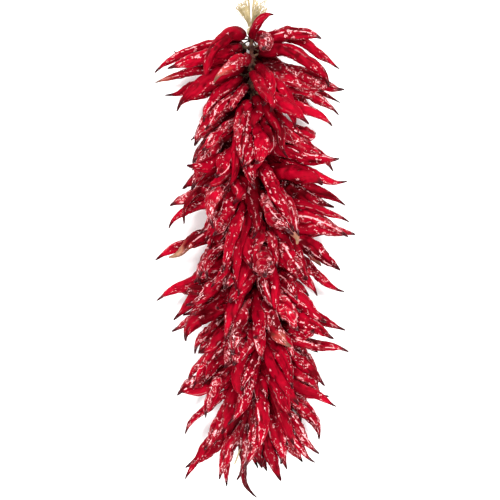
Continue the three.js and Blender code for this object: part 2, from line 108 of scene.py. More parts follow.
# ---- Finishes ------------------------------------------------------------------------------------


def sum_node(operation: str, swapped: bool = False) -> "Callable[..., Wire]":
    """A method of Wire that adds one Math node, on its values in order or swapped."""

    def method(wire: "Wire", *others: "Wire | float") -> "Wire":
        """The Math node's output."""
        values = (*others, wire) if swapped else (wire, *others)
        return wire.recipe.node("ShaderNodeMath", {"operation": operation}, dict(enumerate(values)))[0]

    return method


class Wire:
    """A socket of a node tree, so that sums on it can be written as Python expressions."""

    def __init__(self, recipe: "Recipe", socket: NodeSocket) -> None:
        """Wraps a socket of the recipe's tree."""
        self.recipe = recipe
        self.socket = socket

    __add__ = __radd__ = sum_node("ADD")
    __sub__ = sum_node("SUBTRACT")
    __rsub__ = sum_node("SUBTRACT", swapped=True)
    __mul__ = __rmul__ = sum_node("MULTIPLY")
    __truediv__ = sum_node("DIVIDE")
    __pow__ = sum_node("POWER")
    size = sum_node("ABSOLUTE")
    sine = sum_node("SINE")
    cosine = sum_node("COSINE")

    def clamped(self) -> "Wire":
        """This value, kept from 0 to 1."""
        settings = {"operation": "ADD", "use_clamp": True}
        return self.recipe.node("ShaderNodeMath", settings, {0: self, 1: 0.0})[0]

    def from_to(self, low: float, high: float) -> "Wire":
        """A smooth step from 0 at low to 1 at high."""
        settings = {"interpolation_type": "SMOOTHSTEP"}
        values = {"Value": self, "From Min": low, "From Max": high, "To Min": 0.0, "To Max": 1.0}
        return self.recipe.node("ShaderNodeMapRange", settings, values)[0]


class Recipe:
    """Adds nodes to a material's tree or to a geometry tree."""

    # The Mix node's two colour inputs, by number
    COLOUR_A = 6
    COLOUR_B = 7

    def __init__(self, tree: NodeTree) -> None:
        """Starts on an existing tree."""
        self.tree = tree

    def node(
        self,
        kind: str,
        settings: dict[str, object] | None = None,
        values: dict[str | int, object] | None = None,
    ) -> list[Wire]:
        """Adds one node.

        Args:
            kind: The node's type name.
            settings: Properties to set first.
            values: A number, colour or wire for each input socket, by its name or number.

        Returns:
            The node's outputs that are in use, in order.
        """
        made = self.tree.nodes.new(kind)
        for key, value in (settings or {}).items():
            setattr(made, key, value)
        for key, value in (values or {}).items():
            target = made.inputs[key]
            if isinstance(value, Wire):
                self.tree.links.new(value.socket, target)
            else:
                target.default_value = value
        return [Wire(self, socket) for socket in made.outputs if socket.enabled]

    def shader(self, values: dict[str, object]) -> Wire:
        """A Principled shader with the given socket values."""
        return self.node("ShaderNodeBsdfPrincipled", values=values)[0]

    def mark(self, mark: Mark) -> Wire:
        """What the piece's corners carry: a vector for the skin's own place, else a number."""
        output = 1 if mark is Mark.PLACE else 2
        return self.node("ShaderNodeAttribute", {"attribute_name": mark.value})[output]

    def vector(self, operation: str, first: Wire, second: Wire | float | Sequence[float]) -> Wire:
        """A sum on vectors. The second value is a vector too, or the number that scales the first."""
        place = "Scale" if operation == "SCALE" else 1
        return self.node("ShaderNodeVectorMath", {"operation": operation}, {0: first, place: second})[0]

    def noise(self, vector: Wire, scale: float, detail: float = 2.0) -> Wire:
        """Noise on a vector, from about 0 to 1."""
        values = {"Vector": vector, "Scale": scale, "Detail": detail, "Roughness": 0.55}
        return self.node("ShaderNodeTexNoise", {"noise_type": "FBM", "normalize": True}, values)[0]

    def bump(self, height: Wire, strength: float, metres: float) -> Wire:
        """A normal that a height bends."""
        values = {"Strength": strength, "Distance": metres, "Height": height}
        return self.node("ShaderNodeBump", values=values)[0]

    def mix(self, factor: Wire | float, first: object, second: object) -> Wire:
        """A colour between two others."""
        settings = {"data_type": "RGBA", "clamp_factor": True}
        sockets = {0: factor, self.COLOUR_A: first, self.COLOUR_B: second}
        return self.node("ShaderNodeMix", settings, sockets)[0]


Colour = tuple[float, float, float, float]
Span = tuple[float, float]  # where a smooth step starts, and where it is full


def surface_of(name: str) -> tuple[Material, Recipe]:
    """An empty material with nodes, and the recipe that fills it."""
    material = bpy.data.materials.new(name)
    material.use_nodes = True
    material.node_tree.nodes.clear()
    return material, Recipe(material.node_tree)


def finish_surface(recipe: Recipe, values: dict[str, object]) -> None:
    """Adds the shader with the given socket values, and the output."""
    recipe.node("ShaderNodeOutputMaterial", values={"Surface": recipe.shader(values)})


@dataclass(frozen=True)
class SkinFinish:
    """Glossy, wrinkled skin of a dried red chilli."""

    name: str = "dried_chilli_skin"
    deep: Colour = (0.085, 0.0003, 0.0030, 1)
    plain: Colour = (0.225, 0.0004, 0.0083, 1)
    bright: Colour = (0.340, 0.0010, 0.0132, 1)
    shade: Colour = (0.030, 0.0002, 0.0016, 1)
    tip: Colour = (0.030, 0.0030, 0.0050, 1)
    straw: Colour = (0.400, 0.2200, 0.1300, 1)
    # Pale pink: painted highlight on the glinting flecks and sharp edges, and the pale papery skin of the
    # driest crests
    bloom_and_glint: Colour = (0.900, 0.4200, 0.4400, 1)

    # How fine each pattern is, and how much finer it is along the pod than round it
    blotch_scale: float = 80.0
    wrinkle_scale: float = 85.0
    crinkle_scale: float = 165.0
    crinkle_stretch: float = 1.7
    patch_scale: float = 110.0
    patch_stretch: float = 1.2
    crease_scale: float = 150.0
    crease_stretch: float = 0.28
    fleck_scale: float = 290.0

    # Where the crinkled patches are, with their glinting flecks, and where the sharp edges get painted
    # highlights
    patch_weight: float = 0.9
    patch_dryness: float = 0.20
    patch_tipness: float = 0.08
    patch_span: Span = (0.635, 0.72)
    crest_narrowness: float = 2.6
    line_narrowness: float = 7.0
    line_span: Span = (0.38, 0.64)
    broken_span: Span = (0.48, 0.53)
    edge_span: Span = (0.66, 0.88)
    edge_dryness: Span = (0.20, 0.75)
    # Pale papery skin on the crests of the driest pods, partly painted sheen
    papery_sheen_span: Span = (0.15, 0.70)
    papery_sheen_dryness: Span = (0.70, 1.00)

    # How the colour is layered
    depth_tone: float = 0.62
    depth_blotch: float = 0.55
    # Share of the fold in the colour: painted shade in fold valleys, painted light on their bulges
    fold_shade_share: float = 0.22
    depth_less: float = 0.08
    plain_span: Span = (0.12, 0.52)
    bright_span: Span = (0.55, 0.95)
    papery_sheen_paint: float = 0.06
    # Strength of the painted highlights on the sharp edges and on the flecks
    edge_glint_paint: float = 0.9
    fleck_glint_paint: float = 0.78
    tip_blotch: float = 0.10
    tip_span: Span = (0.99, 1.07)
    tip_strength: float = 0.9
    worn_blotch: float = 0.5
    worn_span: Span = (0.72, 1.04)

    # Relief and shine
    bump_metres: float = 0.0026
    wrinkle_height: float = 0.7
    crease_height: float = 0.55
    crest_height: float = 0.42
    edge_height: float = 0.3
    satin_roughness: float = 0.50
    satin: float = 0.02
    gloss_roughness: float = 0.27
    gloss: float = 1.0
    edge_gloss: float = 0.7

    MARKS = (
        Mark.PLACE, Mark.ALONG, Mark.FOLD, Mark.TONE, Mark.FADE, Mark.EDGE, Mark.DRY, Mark.INNER_SHADE
    )

    def material(self) -> Material:
        """Builds the material: a satin skin, with crinkled patches that shine."""
        material, recipe = surface_of(self.name)
        place, along, fold, tone, fade, edge, dry, inner_shade = map(recipe.mark, self.MARKS)

        def stretched(scale: float, stretch: float, detail: float) -> Wire:
            """Noise that is finer or coarser along the pod."""
            return recipe.noise(recipe.vector("MULTIPLY", place, (1.0, 1.0, stretch)), scale, detail)

        blotch = recipe.noise(place, self.blotch_scale, 3.0)
        wrinkle = recipe.noise(place, self.wrinkle_scale, 2.0)
        crinkle = stretched(self.crinkle_scale, self.crinkle_stretch, 1.5)
        patch = stretched(self.patch_scale, self.patch_stretch, 1.0)
        crease = stretched(self.crease_scale, self.crease_stretch, 2.0)
        patches = patch * self.patch_weight + dry * self.patch_dryness + along * self.patch_tipness
        crinkled = patches.from_to(*self.patch_span)
        from_crest = (crinkle * 2.0 - 1.0).size()
        crests = 1.0 - from_crest * self.crest_narrowness
        lines = 1.0 - from_crest * self.line_narrowness
        broken = recipe.noise(place, self.fleck_scale, 1.0).from_to(*self.broken_span)
        glint_flecks = lines.from_to(*self.line_span) * crinkled * broken
        ridges = edge.from_to(*self.edge_span) * broken * dry.from_to(*self.edge_dryness)
        # Pale papery skin on the crests of the driest pods, partly painted sheen
        papery_sheen = crests.from_to(*self.papery_sheen_span) * crinkled * dry.from_to(*self.papery_sheen_dryness)

        # Tone and blotches are the skin's own colour; the fold term paints shade into the fold valleys and
        # light onto their bulges.
        layered = tone * self.depth_tone + blotch * self.depth_blotch + fold * self.fold_shade_share
        depth = (layered - self.depth_less).clamped()
        tipness = (along + blotch * self.tip_blotch).from_to(*self.tip_span) * self.tip_strength
        worn = (along + (blotch - 0.5) * self.worn_blotch).from_to(*self.worn_span) * fade
        # Painted highlights: pale pink on the flecks and the sharp edges, where the gloss shines as well.
        light = (glint_flecks + ridges * self.edge_glint_paint).clamped() * self.fleck_glint_paint
        colour = recipe.mix(depth.from_to(*self.plain_span), self.deep, self.plain)
        for share, over in (
            (depth.from_to(*self.bright_span), self.bright),
            (papery_sheen * self.papery_sheen_paint, self.bloom_and_glint),
            (light, self.bloom_and_glint),
            (tipness, self.tip),
            (worn, self.straw),
            # Painted shade deep in the bunch, near the string
            (inner_shade, self.shade),
        ):
            colour = recipe.mix(share, colour, over)

        folded = wrinkle * self.wrinkle_height + crease * self.crease_height
        height = folded + crests * crinkled * self.crest_height + edge * self.edge_height
        bump = recipe.bump(height, 1.0, self.bump_metres)
        satin, shiny = (
            recipe.shader(
                {"Base Color": colour, "Normal": bump, "Roughness": rough, "Specular IOR Level": shine}
            )
            for rough, shine in (
                (self.satin_roughness, self.satin),
                (self.gloss_roughness, self.gloss),
            )
        )
        shining = (glint_flecks + ridges * self.edge_gloss).clamped()
        skin = recipe.node("ShaderNodeMixShader", values={0: shining, 1: satin, 2: shiny})[0]
        recipe.node("ShaderNodeOutputMaterial", values={"Surface": skin})
        return material


@dataclass(frozen=True)
class StemFinish:
    """Dry, ribbed stem and cap, in dark browns: partly its own dried colour, partly painted shade of the
    gaps where the stems sit.
    """

    name: str = "dry_stem"
    dark: Colour = (0.040, 0.016, 0.008, 1)
    light: Colour = (0.200, 0.105, 0.045, 1)
    rib_scale: float = 900.0
    rib_stretch: float = 0.12
    blotch_scale: float = 160.0
    light_span: Span = (0.3, 0.85)
    bump_metres: float = 0.0005

    def material(self) -> Material:
        """Builds the material."""
        material, recipe = surface_of(self.name)
        place = recipe.mark(Mark.PLACE)
        rib_place = recipe.vector("MULTIPLY", place, (1.0, 1.0, self.rib_stretch))
        ribs = recipe.noise(rib_place, self.rib_scale, 2.0)
        blotch = recipe.noise(place, self.blotch_scale, 3.0)
        lightness = (ribs * 0.6 + blotch * 0.5).from_to(*self.light_span)
        colour = recipe.mix(lightness, self.dark, self.light)
        bump = recipe.bump(ribs, 0.7, self.bump_metres)
        finish_surface(recipe, {"Base Color": colour, "Roughness": 0.62 + blotch * 0.2, "Normal": bump})
        return material


@dataclass(frozen=True)
class TwineFinish:
    """Natural fibre, with fibres that run along each strand."""

    name: str
    light: Colour
    dark: Colour
    fibre_round: float = 2.2
    fibre_along: float = 90.0
    fibre_scale: float = 3.2
    patch_scale: float = 55.0
    light_span: Span = (0.38, 0.82)
    bump_metres: float = 0.0004

    def material(self) -> Material:
        """Builds the material."""
        material, recipe = surface_of(self.name)
        run = recipe.mark(Mark.RUN)
        turn = recipe.mark(Mark.TURN)
        around = [turn.cosine() * self.fibre_round, turn.sine() * self.fibre_round]
        places = dict(enumerate([*around, run * self.fibre_along]))
        fibre_place = recipe.node("ShaderNodeCombineXYZ", values=places)[0]
        fibres = recipe.noise(fibre_place, self.fibre_scale, 3.0)
        where = recipe.node("ShaderNodeTexCoord")[3]
        patches = recipe.noise(where, self.patch_scale, 2.0)
        lightness = (fibres * 0.8 + patches * 0.4).from_to(*self.light_span)
        colour = recipe.mix(lightness, self.dark, self.light)
        bump = recipe.bump(fibres, 0.8, self.bump_metres)
        finish_surface(recipe, {"Base Color": colour, "Roughness": 0.8 + fibres * 0.1, "Normal": bump})
        return material


NATURAL_TWINE = TwineFinish(
    "natural_twine", light=(0.66, 0.55, 0.31, 1), dark=(0.24, 0.17, 0.07, 1)
)
STAINED_TWINE = TwineFinish(
    "stained_twine", light=(0.22, 0.07, 0.04, 1), dark=(0.07, 0.016, 0.010, 1)
)
TIE_STRING = TwineFinish(
    "tie_string", light=(0.16, 0.045, 0.030, 1), dark=(0.050, 0.010, 0.008, 1)
)


@dataclass(frozen=True)
class FloorFinish:
    """Plain pale sheet that the ristra lies on. It glows faintly: painted light that keeps the shadows on it
    pale.
    """

    name: str = "pale_floor"
    shade: Colour = (0.93, 0.93, 0.93, 1)
    grain_shade: Colour = (0.88, 0.88, 0.88, 1)
    grain_scale: float = 30.0
    grain_share: float = 0.04
    roughness: float = 0.9
    glow: float = 0.15

    def material(self) -> Material:
        """Builds the material."""
        material, recipe = surface_of(self.name)
        where = recipe.node("ShaderNodeTexCoord")[3]
        grain = recipe.noise(where, self.grain_scale, 2.0)
        colour = recipe.mix(grain * self.grain_share, self.shade, self.grain_shade)
        glow = {"Emission Color": (1.0, 1.0, 1.0, 1), "Emission Strength": self.glow}
        finish_surface(recipe, {"Base Color": colour, "Roughness": self.roughness, **glow})
        return material


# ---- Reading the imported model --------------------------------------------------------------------


class NodeShape:
    """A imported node's corners, each taken once, and the corners that each one joins."""

    MERGE = 2e-5

    def __init__(self, name: str) -> None:
        """Reads the named node."""
        welded = bmesh.new()
        welded.from_mesh(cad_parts[name].data)
        bmesh.ops.remove_doubles(welded, verts=welded.verts[:], dist=self.MERGE)
        welded.verts.index_update()
        self.points = np.array([corner.co[:] for corner in welded.verts])
        self.links = [
            {edge.other_vert(corner).index for edge in corner.link_edges} for corner in welded.verts
        ]
        welded.free()

    def layers(self, start: Iterable[int], most: int) -> list[list[int]]:
        """Rings of corners from the first one on, each one step further, and at most so many."""
        seen = set(start)
        rings = [sorted(seen)]
        while len(rings) < most:
            following = set().union(*(self.links[i] for i in rings[-1])) - seen
            if not following:
                break
            seen |= following
            rings.append(sorted(following))
        return rings

    def middles(self, rings: Iterable[Sequence[int]]) -> np.ndarray:
        """The middle of each ring."""
        return np.array([self.points[list(ring)].mean(axis=0) for ring in rings])

    def bar_line(self, near: Vector, sides: int) -> np.ndarray:
        """The middles of a bent bar's rings, from its end nearest to a point, as rows."""
        far = np.linalg.norm(self.points - np.array(near), axis=1)
        first = [int(i) for i in np.argsort(far)[:sides]]
        rings = self.layers(first, len(self.points))
        return self.middles(ring for ring in rings if len(ring) == sides)


@dataclass
class PodLine:
    """One pod read back from its bunch: its stem's root, and the middles and the radii of its sections."""

    root: np.ndarray
    middles: np.ndarray
    radii: np.ndarray

    # How far along the pod's body each section is: the shoulder, the belly, below it, and the tip.
    SHARES = np.array([0.05, 0.34, 0.76, 1.0])

    def at(self, shares: np.ndarray) -> np.ndarray:
        """Points along the body, on the cubic through its sections and straight on past both ends."""
        inside = np.clip(shares, 0, 1)
        columns = []
        for axis in range(3):
            cubic = np.polyfit(self.SHARES, self.middles[:, axis], 3)
            slope = np.polyval(np.polyder(cubic), inside)
            columns.append(np.polyval(cubic, inside) + slope * (shares - inside))
        return np.stack(columns, axis=1)

    def length(self) -> float:
        """The body's length."""
        return float(np.linalg.norm(np.diff(self.at(np.linspace(0, 1, 20)), axis=0), axis=1).sum())


class BunchShape:
    """A packed bunch, taken apart into its pods and its tie."""

    POD_SIDES = 5

    def __init__(self, name: str) -> None:
        """Reads the named bunch."""
        self.shape = NodeShape(name)
        self.name = name
        self.pods: list[PodLine] = []
        taken: set[int] = set()
        sides = self.POD_SIDES
        for corner, near in enumerate(self.shape.links):
            if len(near) != sides:
                continue
            rings = self.shape.layers({corner}, 5)
            if len(rings) < 5 or [len(ring) for ring in rings[1:4]] != [sides] * 3:
                continue
            if any(set(ring) & taken for ring in rings[:4]):
                continue
            taken.update(*rings[:4])
            middles = self.shape.middles(rings)
            radii = [
                float(np.linalg.norm(self.shape.points[ring] - middle, axis=1).max())
                for ring, middle in zip(rings, middles)
            ]
            self.pods.append(PodLine(middles[4], middles[3::-1], np.array(radii[3::-1])))
        rest = [i for i in range(len(self.shape.points)) if i not in taken]
        corners = self.shape.points[rest]
        self.tie_middle = (corners.min(axis=0) + corners.max(axis=0)) / 2


# ---- Meshes --------------------------------------------------------------------------------------


def linked(name: str, data: ID) -> Object:
    """A new object of the given data, linked to the scene."""
    made = bpy.data.objects.new(name, data)
    bpy.context.scene.collection.objects.link(made)
    return made


class Stock:
    """Gathers the corners, the faces and the marks of one piece."""

    def __init__(self) -> None:
        """Starts empty."""
        self.corners: list[np.ndarray] = []
        self.faces: list[np.ndarray] = []
        self.marks: dict[Mark, list[np.ndarray]] = {}
        self.count = 0

    def add(self, corners: np.ndarray, faces: list[np.ndarray], marks: dict[Mark, np.ndarray]) -> None:
        """Adds a closed shape.

        Args:
            corners: Its corners, as rows.
            faces: Arrays of faces, each array with as many columns as its faces have corners.
            marks: What each corner carries.
        """
        self.corners.append(corners)
        self.faces.extend(face + self.count for face in faces)
        for mark, values in marks.items():
            self.marks.setdefault(mark, []).append(values)
        self.count += len(corners)

    def piece(self, name: str, material: Material) -> Object:
        """Makes the piece and links it to the scene, with its place in its mesh."""
        mesh = bpy.data.meshes.new(name)
        corners = np.concatenate(self.corners)
        sizes = np.concatenate([np.full(len(face), face.shape[1]) for face in self.faces])
        loops = np.concatenate([face.ravel() for face in self.faces])
        mesh.vertices.add(len(corners))
        mesh.vertices.foreach_set("co", corners.astype(np.float32).ravel())
        mesh.loops.add(len(loops))
        mesh.loops.foreach_set("vertex_index", loops.astype(np.int32))
        mesh.polygons.add(len(sizes))
        starts = np.concatenate([[0], np.cumsum(sizes)[:-1]])
        mesh.polygons.foreach_set("loop_start", starts.astype(np.int32))
        mesh.polygons.foreach_set("use_smooth", np.ones(len(sizes), dtype=bool))
        mesh.update(calc_edges=True)
        mesh.validate()
        for mark, values in self.marks.items():
            joined = np.concatenate(values).astype(np.float32)
            if joined.ndim == 1:
                mesh.attributes.new(mark.value, "FLOAT", "POINT").data.foreach_set("value", joined)
            else:
                layer = mesh.attributes.new(mark.value, "FLOAT_VECTOR", "POINT")
                layer.data.foreach_set("vector", joined.ravel())
        mesh.materials.append(material)
        return linked(name, mesh)


def tube_faces(rings: int, sides: int) -> list[np.ndarray]:
    """Faces of a closed tube: quads between its rings, then triangles round a pole at each end."""
    place = np.arange(rings * sides).reshape(rings, sides)
    after = np.roll(place, -1, axis=1)
    quads = np.stack([place[:-1], after[:-1], after[1:], place[1:]], axis=-1).reshape(-1, 4)
    first = np.full(sides, rings * sides)
    last = first + 1
    start = np.stack([first, after[0], place[0]], axis=-1)
    end = np.stack([last, place[-1], after[-1]], axis=-1)
    return [quads, np.concatenate([start, end])]


def unit(vectors: np.ndarray) -> np.ndarray:
    """Each row at length 1."""
    return vectors / np.maximum(np.linalg.norm(vectors, axis=-1, keepdims=True), 1e-12)


def carried_frames(line: np.ndarray, aim: np.ndarray) -> tuple[np.ndarray, np.ndarray, np.ndarray]:
    """Directions that don't twist, at each point of a line: along, across from an aim, across both."""
    along = unit(np.gradient(line, axis=0))
    across = np.empty_like(line)
    current = aim
    for i, forward in enumerate(along):
        current = unit(current - forward * float(current @ forward))
        across[i] = current
    return along, across, np.cross(along, across)


def rings_about(
    points: np.ndarray, across: np.ndarray, beside: np.ndarray, radius: np.ndarray, angle: np.ndarray
) -> np.ndarray:
    """Rings of corners round a line, by ring, corner and axis, each at its radius and its angle."""
    return (
        points[:, None, :]
        + across[:, None, :] * (radius * np.cos(angle))[..., None]
        + beside[:, None, :] * (radius * np.sin(angle))[..., None]
    )


class SkinNoise:
    """Smooth repeatable noise in three dimensions, for dents and folds."""

    SIZE = 4096
    # Large primes that spread a cell's place over the table, one for each axis, and a shift for it.
    PRIMES = (73856093, 19349663, 83492791)
    SHIFT = 13

    def __init__(self, seed: int) -> None:
        """Draws the lattice's values."""
        self.table = np.random.default_rng(seed).uniform(-1, 1, self.SIZE)

    def at(self, places: np.ndarray) -> np.ndarray:
        """The noise at each place, from -1 to 1."""
        cell = np.floor(places).astype(np.int64)
        inside = places - cell
        weight = inside * inside * inside * (inside * (inside * 6 - 15) + 10)
        total = np.zeros(places.shape[:-1])
        for corner in np.ndindex(2, 2, 2):
            spread = (cell + corner) * self.PRIMES
            mixed = spread[..., 0] ^ spread[..., 1] ^ spread[..., 2]
            mixed ^= mixed >> self.SHIFT
            share = np.where(corner, weight, 1 - weight).prod(axis=-1)
            total += share * self.table[mixed % self.SIZE]
        return total


# ---- Pods ----------------------------------------------------------------------------------------


@dataclass
class PodTraits:
    """What makes one dried pod differ from the next."""

    flatness: float  # its thin way across, as a share of its wide one
    turn: float  # where its flat side faces, in radians from outwards
    twist: float  # how far its section turns along it
    edge: float  # the section's power: 2 is an oval, less has sharp edges
    taper: float  # power of the narrowing towards the tip
    dryness: float  # depth of its folds, as a share of the usual one
    hook: float  # how far its tip bends aside, in metres
    hook_way: float  # the side that it bends to, in radians
    sway: float  # how far its body wanders off its line, in metres
    tone: float  # 0 is dark, 1 is bright
    fade: float  # how far its tip has turned to straw

    @classmethod
    def drawn(cls, rng: np.random.Generator) -> "PodTraits":
        """Draws the traits of one pod."""
        curled = rng.random() < 0.45
        return cls(
            flatness=rng.uniform(0.78, 1.0),
            turn=rng.normal(0.0, 0.5),
            twist=rng.normal(0.0, 0.8),
            edge=rng.uniform(1.8, 2.4),
            taper=rng.uniform(3.4, 6.2),
            dryness=rng.uniform(0.65, 1.6),
            hook=rng.uniform(0.011, 0.021) if curled else rng.uniform(0.003, 0.009),
            hook_way=rng.uniform(0, 2 * math.pi),
            sway=rng.uniform(0.0006, 0.0030),
            tone=float(np.clip(rng.normal(0.52, 0.22), 0, 1)),
            fade=float(rng.choice([0.0, 0.3, 0.9], p=[0.97, 0.02, 0.01])),
        )


@dataclass
class Pods:
    """The six pods of one bunch, as one piece."""

    bunch: BunchShape
    noise: SkinNoise
    rng: np.random.Generator
    rings: int = 54
    sides: int = 42
    fullness: float = 1.14
    tail_share: float = 0.10
    tail_radius: float = 0.29
    start_share: float = -0.09
    # Painted shade: the skin darkens within this reach of the string, and fades out over the next
    dark_within: float = 0.022
    dark_fades: float = 0.045
    body_end: float = 0.99
    end_share: float = 1.08
    dent_depth: float = 0.15  # of each kind of fold, as a share of the radius
    crease_depth: float = 0.16
    ripple_depth: float = 0.20
    pucker_depth: float = 0.06
    crease_width: float = 0.14
    edge_width: float = 0.22
    fold_length: float = 0.024  # of one cell of the folds, in metres
    shoulder_share: float = 0.24  # how far down the shoulder goes, and how square it is
    shoulder_power: float = 2.4
    body_power: float = 0.8
    hook_from: float = 0.70  # where the tip starts to bend, over what share, and how suddenly
    hook_over: float = 0.36
    hook_power: float = 2.8

    # How often each kind of fold changes round the pod, and along it
    DENTS = (0.8, 0.9)
    CREASES = (1.1, 0.6)
    RIPPLES = (1.5, 1.8)
    PUCKERS = (2.4, 3.6)
    SWAY_WAVES = (9, 7)  # of the body's wander across its line, and beside it
    SPIRAL = 1.2  # how far the folds turn along the pod, as a share of its section's twist
    APART = 200  # how far from each other two pods' folds are taken, at most

    # Shares along the pod at which its flatness, its edges and its folds are full
    FLAT_FROM = 0.2
    POWER_FROM = 0.5
    SHARP_FROM = 0.3
    FOLDS_FROM = 0.15
    EVEN_SHARE = 0.45  # of the rings' spacing. The rest is closer together at both ends.
    OVAL = 1.04  # the section's length across its flat side
    TOP_POLE = 0.3  # how far each pole stands past its last ring, as a share of the rings' step
    TIP_POLE = 0.7
    DOWN_STRING = 0.2  # what counts of a pod's way along the string, in its way out
    LOWEST = 0.0002  # nothing of a pod goes below this height
    SKIN_ROUND = 0.010  # how far the skin's own place goes round the pod, in metres
    SKIN_ALONG = 0.45  # how far it goes along it, as a share of its length
    # The fold is carried to the colour as painted shade in its valleys and painted light on its bulges.
    FOLD_FULL = 0.12  # the fold that counts as a whole one for the colour
    DEEPEST_INNER_SHADE = 0.9
    LEAST_DRYNESS = 0.5

    def shares(self) -> np.ndarray:
        """How far along the pod each ring is, closer together at both ends."""
        even = np.linspace(0, 1, self.rings + 2)[1:-1]
        eased = self.EVEN_SHARE * even + (1 - self.EVEN_SHARE) * (1 - np.cos(math.pi * even)) / 2
        return self.start_share + (self.end_share - self.start_share) * eased

    def profile(self, shares: np.ndarray, traits: PodTraits) -> np.ndarray:
        """The radius along the pod, as a share of its belly's."""
        from_top = (shares - self.start_share) / self.shoulder_share
        shoulder = (1 - (1 - np.clip(from_top, 0, 1)) ** self.shoulder_power) ** 0.5
        body = (1 - np.clip(shares / self.body_end, 0, 1) ** traits.taper) ** self.body_power
        tail = self.tail_radius * np.clip((self.end_share - shares) / self.tail_share, 0.12, 1) ** 0.5
        return shoulder * np.sqrt(body**2 + (tail * np.clip(shares * 2, 0, 1)) ** 2)

    def centreline(self, line: PodLine, shares: np.ndarray, traits: PodTraits) -> np.ndarray:
        """The pod's own bent line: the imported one, a wander, and its hooked tip."""
        points = line.at(shares)
        aim = self.outwards(points)
        _, across, beside = carried_frames(points, aim)
        phase = self.rng.uniform(0, 2 * math.pi, 2)
        ease = np.sin(math.pi * np.clip(shares, 0, 1))
        wander = traits.sway * ease
        for side, waves, start in zip((across, beside), self.SWAY_WAVES, phase):
            points = points + side * (wander * np.sin(shares * waves + start))[:, None]
        bent = np.clip((shares - self.hook_from) / self.hook_over, 0, 1) ** self.hook_power
        bend = traits.hook * bent
        way = math.cos(traits.hook_way) * across + math.sin(traits.hook_way) * beside
        return points + way * bend[:, None]

    def outwards(self, points: np.ndarray) -> np.ndarray:
        """The way out from the string at the middle of a line."""
        away = points[len(points) // 2] - self.bunch.tie_middle
        away[1] *= self.DOWN_STRING
        return away / np.linalg.norm(away)

    def grow(self, stock: Stock, line: PodLine, traits: PodTraits) -> None:
        """Adds one pod, on its packed line, to the piece."""
        shares = self.shares()
        points = self.centreline(line, shares, traits)
        _, across, beside = carried_frames(points, self.outwards(points))
        belly = float(line.radii[1]) * self.fullness
        length = line.length()
        angle = np.linspace(0, 2 * math.pi, self.sides, endpoint=False)
        section = angle[None, :] + (traits.turn + traits.twist * shares)[:, None]

        flat = 1 - (1 - traits.flatness) * np.clip(shares / self.FLAT_FROM, 0.1, 1)
        power = 2 - (2 - traits.edge) * np.clip(shares / self.POWER_FROM, 0, 1)
        wide = np.abs(np.sin(section) / self.OVAL) ** power[:, None]
        thin = np.abs(np.cos(section) / flat[:, None]) ** power[:, None]
        radius = (wide + thin) ** (-1 / power[:, None])

        spiral = angle[None, :] + self.SPIRAL * traits.twist * shares[:, None]
        offset = self.rng.uniform(0, self.APART, 3)
        round_about = np.stack([np.cos(spiral), np.sin(spiral)], axis=-1)
        reach = shares[:, None, None] * length / self.fold_length
        reach = np.broadcast_to(reach, round_about[..., :1].shape)

        def folds(around: float, lengthwise: float) -> np.ndarray:
            """Noise on the skin, by how often it changes round the pod and along it."""
            places = np.concatenate([round_about * around, reach * lengthwise], axis=-1)
            return self.noise.at(places + offset)

        dent = folds(*self.DENTS)
        crease = np.exp(-((folds(*self.CREASES) / self.crease_width) ** 2))
        ripple = 0.5 - np.abs(folds(*self.RIPPLES))
        pucker = folds(*self.PUCKERS)
        calm = np.clip((shares - self.start_share) / self.FOLDS_FROM, 0.2, 1)[:, None]
        sharp = np.exp(-((np.cos(section) / self.edge_width) ** 2))
        sharp = sharp * np.clip(shares / self.SHARP_FROM, 0, 1)[:, None]
        fold = dent * self.dent_depth - crease * self.crease_depth
        fold = fold + ripple * self.ripple_depth + pucker * self.pucker_depth
        radius = radius * (1 + fold * calm * traits.dryness)
        radius = radius * (belly * self.profile(shares, traits))[:, None]

        ring = rings_about(points, across, beside, radius, angle)
        ring[..., 2] = np.maximum(ring[..., 2], self.LOWEST)
        corners = np.concatenate([ring.reshape(-1, 3), points[:1], points[-1:]])
        corners[-2] += (points[0] - points[1]) * self.TOP_POLE
        corners[-1] += (points[-1] - points[-2]) * self.TIP_POLE
        corners[-2:, 2] = np.maximum(corners[-2:, 2], self.LOWEST)

        # Painted shade near the string, darkest closest to it
        from_string = corners[:, [0, 2]] - self.bunch.tie_middle[[0, 2]]
        reach_out = np.linalg.norm(from_string, axis=1)
        inner_shade = 1 - np.clip((reach_out - self.dark_within) / self.dark_fades, 0, 1)
        skin_reach = shares[:, None, None] * length * self.SKIN_ALONG
        skin_reach = np.broadcast_to(skin_reach, round_about[..., :1].shape)
        skin = np.concatenate([round_about * self.SKIN_ROUND, skin_reach], axis=-1).reshape(-1, 3)
        ends = np.array([[0, 0, 0], [0, 0, length * self.SKIN_ALONG]])
        total = len(corners)
        stock.add(
            corners,
            tube_faces(self.rings, self.sides),
            {
                Mark.PLACE: np.concatenate([skin, ends]) + offset,
                Mark.ALONG: np.concatenate([np.repeat(shares, self.sides), [0, 1]]),
                Mark.FOLD: np.concatenate([(fold / self.FOLD_FULL).ravel(), [0, 0]]),
                Mark.INNER_SHADE: inner_shade * self.DEEPEST_INNER_SHADE,
                Mark.EDGE: np.concatenate([sharp.ravel(), [0, 0]]),
                Mark.DRY: np.full(total, traits.dryness - self.LEAST_DRYNESS),
                Mark.TONE: np.full(total, traits.tone),
                Mark.FADE: np.full(total, traits.fade),
            },
        )

    def make(self, material: Material) -> Object:
        """Makes the piece."""
        stock = Stock()
        for line in self.bunch.pods:
            self.grow(stock, line, PodTraits.drawn(self.rng))
        return stock.piece(f"{self.bunch.name}_pods", material)


